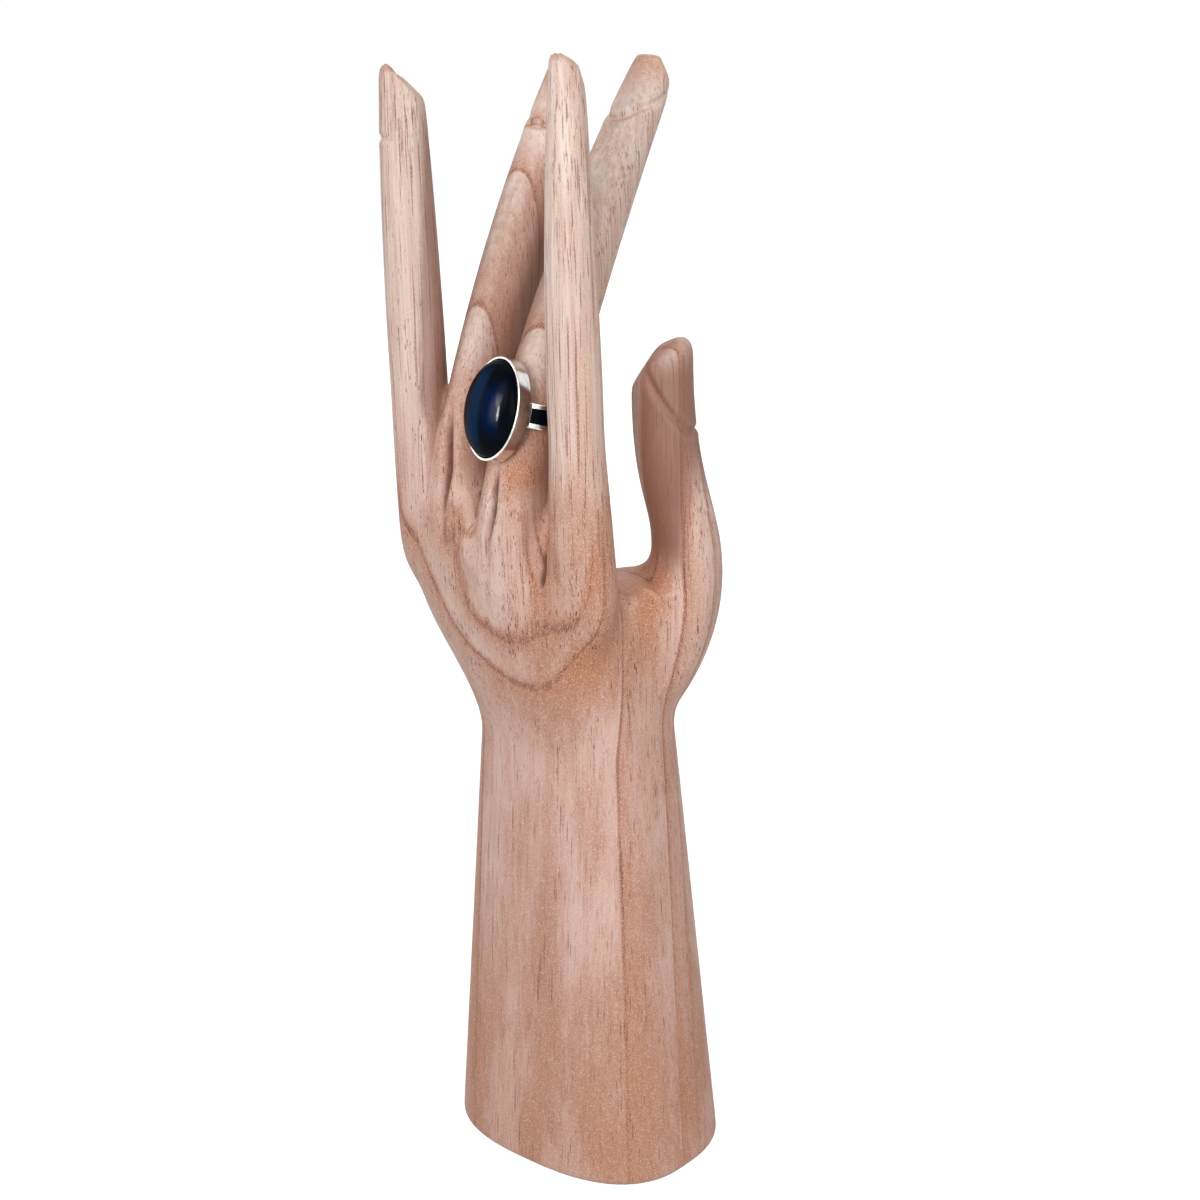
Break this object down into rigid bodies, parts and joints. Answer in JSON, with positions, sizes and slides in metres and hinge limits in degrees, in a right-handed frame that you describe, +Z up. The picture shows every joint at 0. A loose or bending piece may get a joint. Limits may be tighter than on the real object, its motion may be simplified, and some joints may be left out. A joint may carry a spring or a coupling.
{
  "type": "wooden display hand with ring",
  "caption": "Carved wooden left hand and forearm standing on its cut end, with a removable silver ring that slides off the bent middle finger.",
  "frame": {"origin": "middle of the flat cut end of the forearm, on the surface that the hand stands on", "axes": "+Z up along the forearm to the fingers, +X to the thumb side, +Y to the palm side, -Y to the back of the hand"},
  "size_m": [0.0873, 0.0704, 0.3053],
  "materials": {
    "wood": "sanded bare wood, pale pinkish tan with fine pore streaks and growth rings",
    "silver": "polished silver",
    "black_stone": "glossy polished black stone with a blue cast"
  },
  "bodies": {
    "hand": {"carved_hand": "wood"},
    "ring": {"ring_shank": "silver", "shoulder_inlay_index_side": "black_stone", "shoulder_inlay_little_side": "black_stone", "bezel_base_plate": "silver", "bezel_wall": "silver", "cabochon": "black_stone"}
  },
  "joints": [
    {"name": "ring_off_finger", "type": "hinge", "parent": "hand", "child": "ring", "pos_m": [-0.007, 0.40744, 0.01384], "axis": [-1, 0, 0], "range_deg": [0, 16]}
  ]
}
